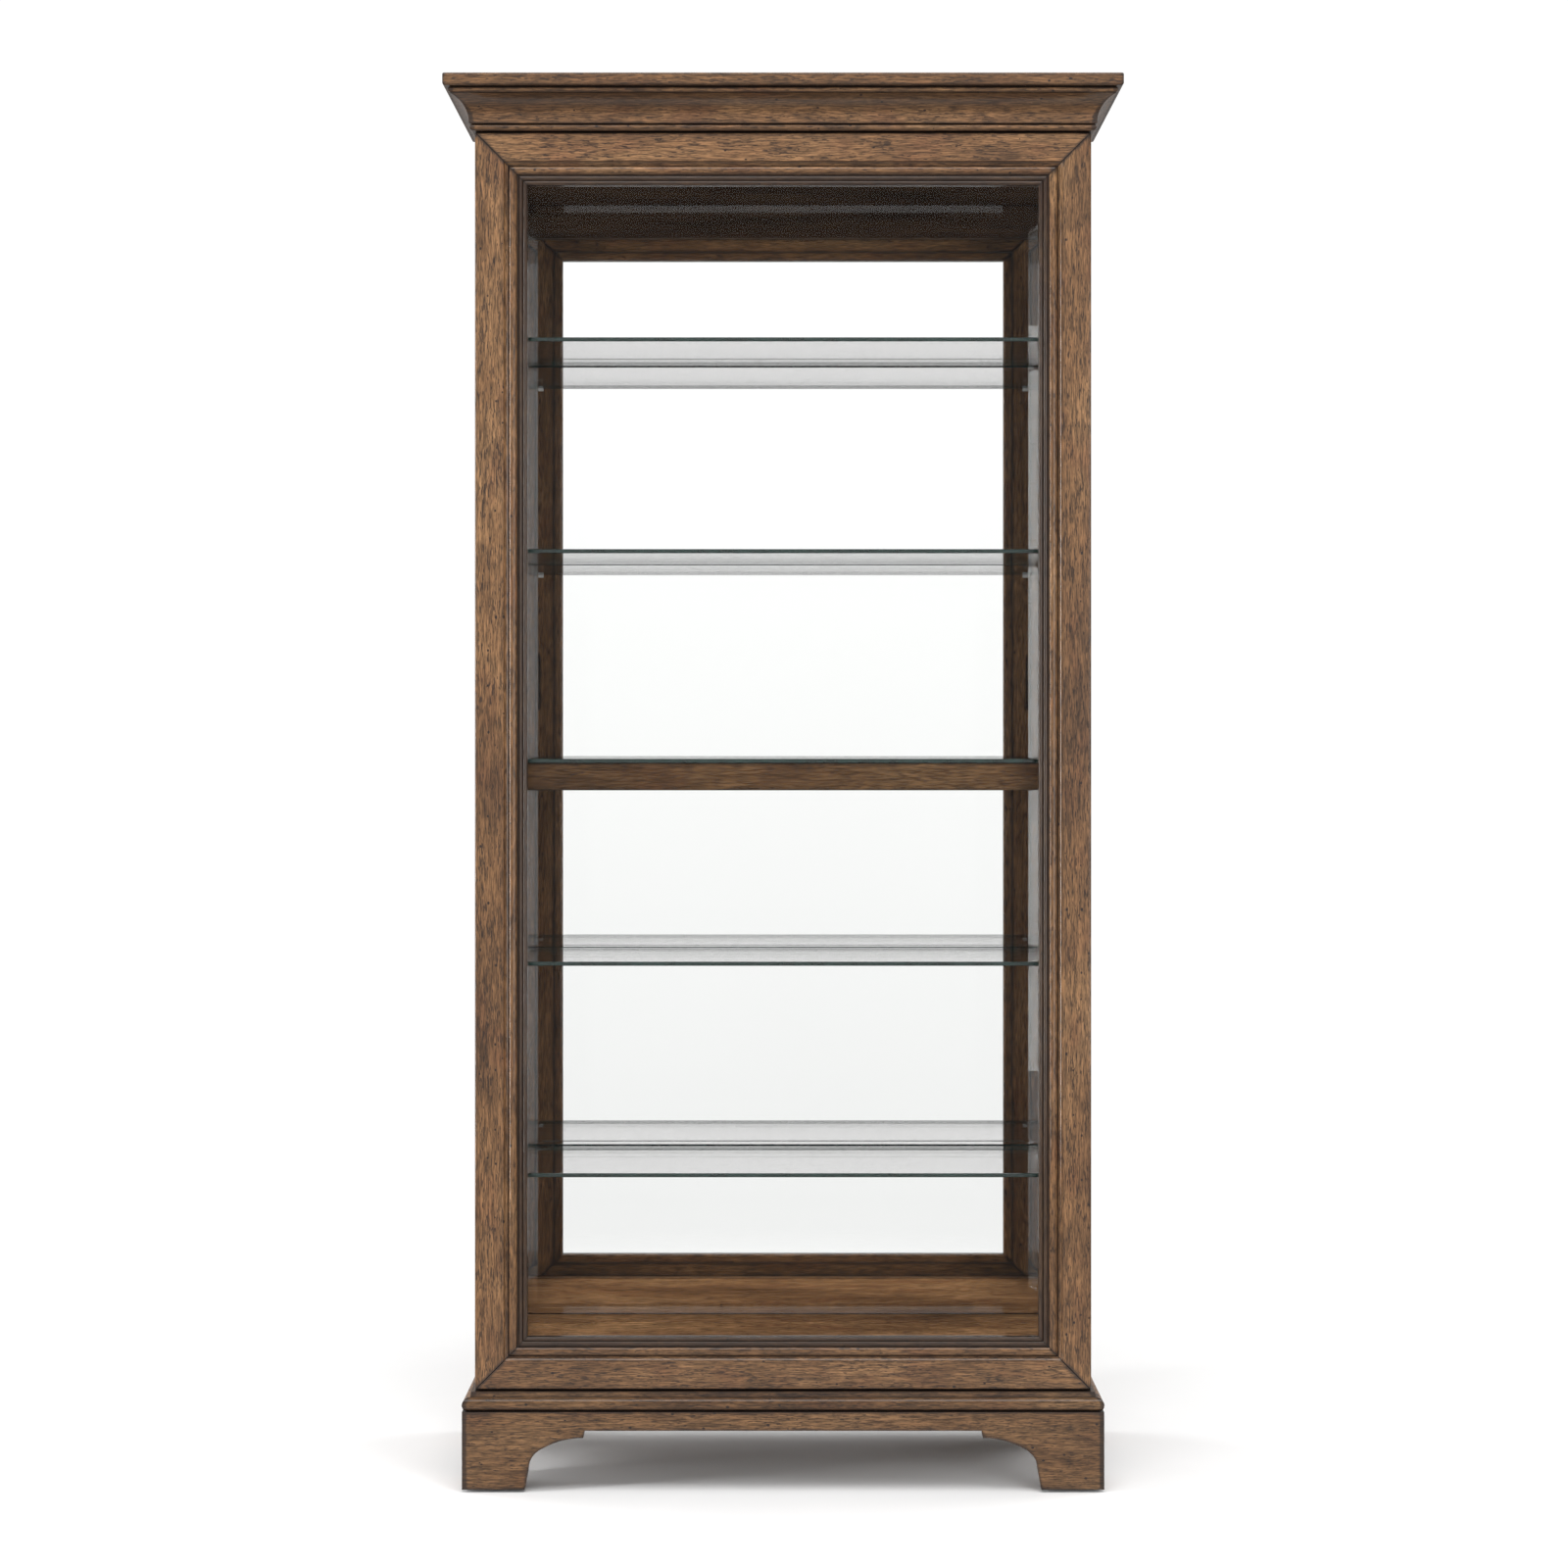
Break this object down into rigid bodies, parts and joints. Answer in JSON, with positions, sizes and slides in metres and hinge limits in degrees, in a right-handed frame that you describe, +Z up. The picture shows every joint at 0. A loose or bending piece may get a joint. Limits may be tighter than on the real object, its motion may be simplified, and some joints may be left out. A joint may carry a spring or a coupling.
{
  "type": "display cabinet",
  "caption": "Tall wooden curio cabinet with a coved crown, bracket base, mirrored back, glass shelves and one full-width glazed door that slides both ways.",
  "frame": {"origin": "on the floor, under the middle of the cabinet's box", "axes": "+X to the right seen from the front, -Y out of the door's face, +Z up"},
  "size_m": [0.972, 0.412, 2.032],
  "materials": {
    "stained_wood": "glazed and lightly distressed, satin",
    "plain_wood": "unfinished",
    "pane_glass": "clear float glass",
    "shelf_glass": "clear float glass, polished edges",
    "silver_coat": "silvered back of a mirror",
    "zinc_steel": "zinc plated",
    "leveler_plastic": "brown moulded nylon"
  },
  "bodies": {
    "case": {"base_front": "stained_wood", "base_left": "stained_wood", "base_right": "stained_wood", "base_back": "stained_wood", "base_cap_front": "stained_wood", "base_cap_left": "stained_wood", "base_cap_right": "stained_wood", "post_front_left": "stained_wood", "post_front_right": "stained_wood", "post_rear_left": "stained_wood", "post_rear_right": "stained_wood", "front_rail_top": "stained_wood", "front_rail_bottom": "stained_wood", "side_rail_top_left": "stained_wood", "side_rail_top_right": "stained_wood", "side_rail_bottom_left": "stained_wood", "side_rail_bottom_right": "stained_wood", "bottom_deck": "stained_wood", "top_deck": "stained_wood", "centre_shelf_rail": "stained_wood", "crown_front": "stained_wood", "crown_left": "stained_wood", "crown_right": "stained_wood", "top_panel": "stained_wood", "side_glass_stops": "stained_wood", "base_corner_blocks": "plain_wood", "centre_shelf_cleats": "plain_wood", "back_panel": "plain_wood", "side_glass_left": "pane_glass", "side_glass_right": "pane_glass", "mirror_glass": "pane_glass", "glass_shelf_1": "shelf_glass", "glass_shelf_2": "shelf_glass", "glass_shelf_4": "shelf_glass", "glass_shelf_5": "shelf_glass", "centre_shelf_glass": "shelf_glass", "mirror_silvering": "silver_coat", "case_screws": "zinc_steel", "shelf_pins": "zinc_steel", "slide_upper_case": "zinc_steel", "slide_lower_case": "zinc_steel", "leveler_sockets": "zinc_steel"},
    "door": {"door_stile_left": "stained_wood", "door_stile_right": "stained_wood", "door_rail_top": "stained_wood", "door_rail_bottom": "stained_wood", "door_front_beads": "stained_wood", "door_glass": "pane_glass", "door_glass_stops": "stained_wood", "door_screws": "zinc_steel", "slide_upper_door": "zinc_steel", "slide_lower_door": "zinc_steel"},
    "upper_runner": {"slide_upper_runner": "zinc_steel", "slide_upper_balls": "zinc_steel"},
    "lower_runner": {"slide_lower_runner": "zinc_steel", "slide_lower_balls": "zinc_steel"},
    "leveler_front_left": {"leveler_front_left": "leveler_plastic"},
    "leveler_front_right": {"leveler_front_right": "leveler_plastic"},
    "leveler_rear_left": {"leveler_rear_left": "leveler_plastic"},
    "leveler_rear_right": {"leveler_rear_right": "leveler_plastic"}
  },
  "joints": [
    {"name": "door_slide", "type": "slide", "parent": "case", "child": "door", "axis": [1, 0, 0], "range_m": [-0.4, 0.4]},
    {"name": "upper_runner_slide", "type": "slide", "parent": "case", "child": "upper_runner", "axis": [1, 0, 0], "range_m": [-0.2, 0.2]},
    {"name": "lower_runner_slide", "type": "slide", "parent": "case", "child": "lower_runner", "axis": [1, 0, 0], "range_m": [-0.2, 0.2]},
    {"name": "leveler_front_left_turn", "type": "hinge", "parent": "case", "child": "leveler_front_left", "pos_m": [-0.4177, -0.1377, 0.03], "axis": [0, 0, 1], "continuous": true},
    {"name": "leveler_front_right_turn", "type": "hinge", "parent": "case", "child": "leveler_front_right", "pos_m": [0.4177, -0.1377, 0.03], "axis": [0, 0, 1], "continuous": true},
    {"name": "leveler_rear_left_turn", "type": "hinge", "parent": "case", "child": "leveler_rear_left", "pos_m": [-0.4177, 0.163, 0.03], "axis": [0, 0, 1], "continuous": true},
    {"name": "leveler_rear_right_turn", "type": "hinge", "parent": "case", "child": "leveler_rear_right", "pos_m": [0.4177, 0.163, 0.03], "axis": [0, 0, 1], "continuous": true}
  ],
  "couplings": [
    {"joint": "upper_runner_slide", "follows": "door_slide", "ratio": 0.5},
    {"joint": "lower_runner_slide", "follows": "door_slide", "ratio": 0.5}
  ]
}
